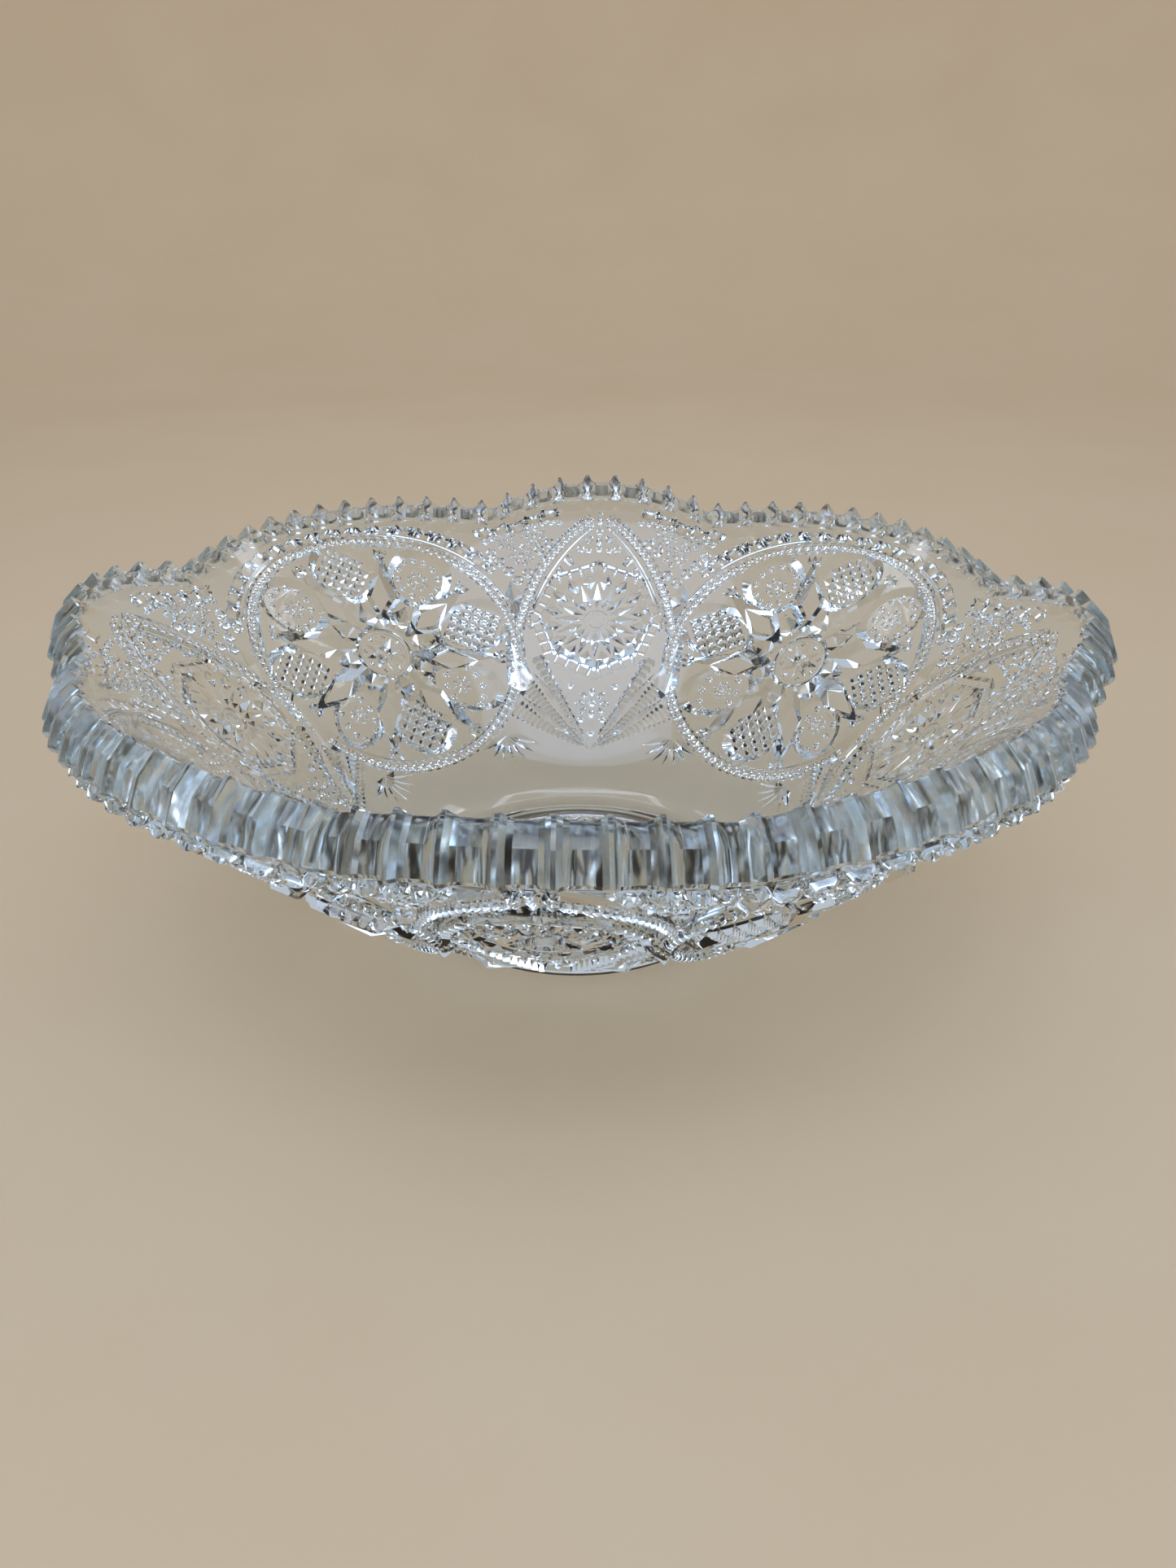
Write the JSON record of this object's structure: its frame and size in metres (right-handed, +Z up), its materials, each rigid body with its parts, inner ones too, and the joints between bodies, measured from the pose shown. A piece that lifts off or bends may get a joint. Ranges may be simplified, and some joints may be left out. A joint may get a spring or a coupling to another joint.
{
  "type": "punch bowl",
  "caption": "Wide flared pressed-glass bowl with a scalloped saw-tooth rim, hobstar medallions, pointed-arch panels and a low collar foot.",
  "frame": {"origin": "centre of the foot's resting face", "axes": "+Z up along the bowl's axis; the four arch panels face +Y, +X, -Y and -X, the star medallions lie between them"},
  "size_m": [0.2994, 0.2994, 0.0999],
  "materials": {
    "glass": "fire-polished clear pressed glass"
  },
  "bodies": {
    "root": {"foot": "glass", "base_star": "glass", "bowl_wall": "glass", "sawtooth_rim": "glass", "medallion_rings": "glass", "medallion_notches": "glass", "hobstar_blades": "glass", "diamond_ovals": "glass", "flower_ovals": "glass", "centre_buttons": "glass", "arch_frames": "glass", "arch_hobs": "glass", "ogive_arcs": "glass", "arch_rays": "glass", "lower_fans": "glass"}
  },
  "joints": []
}
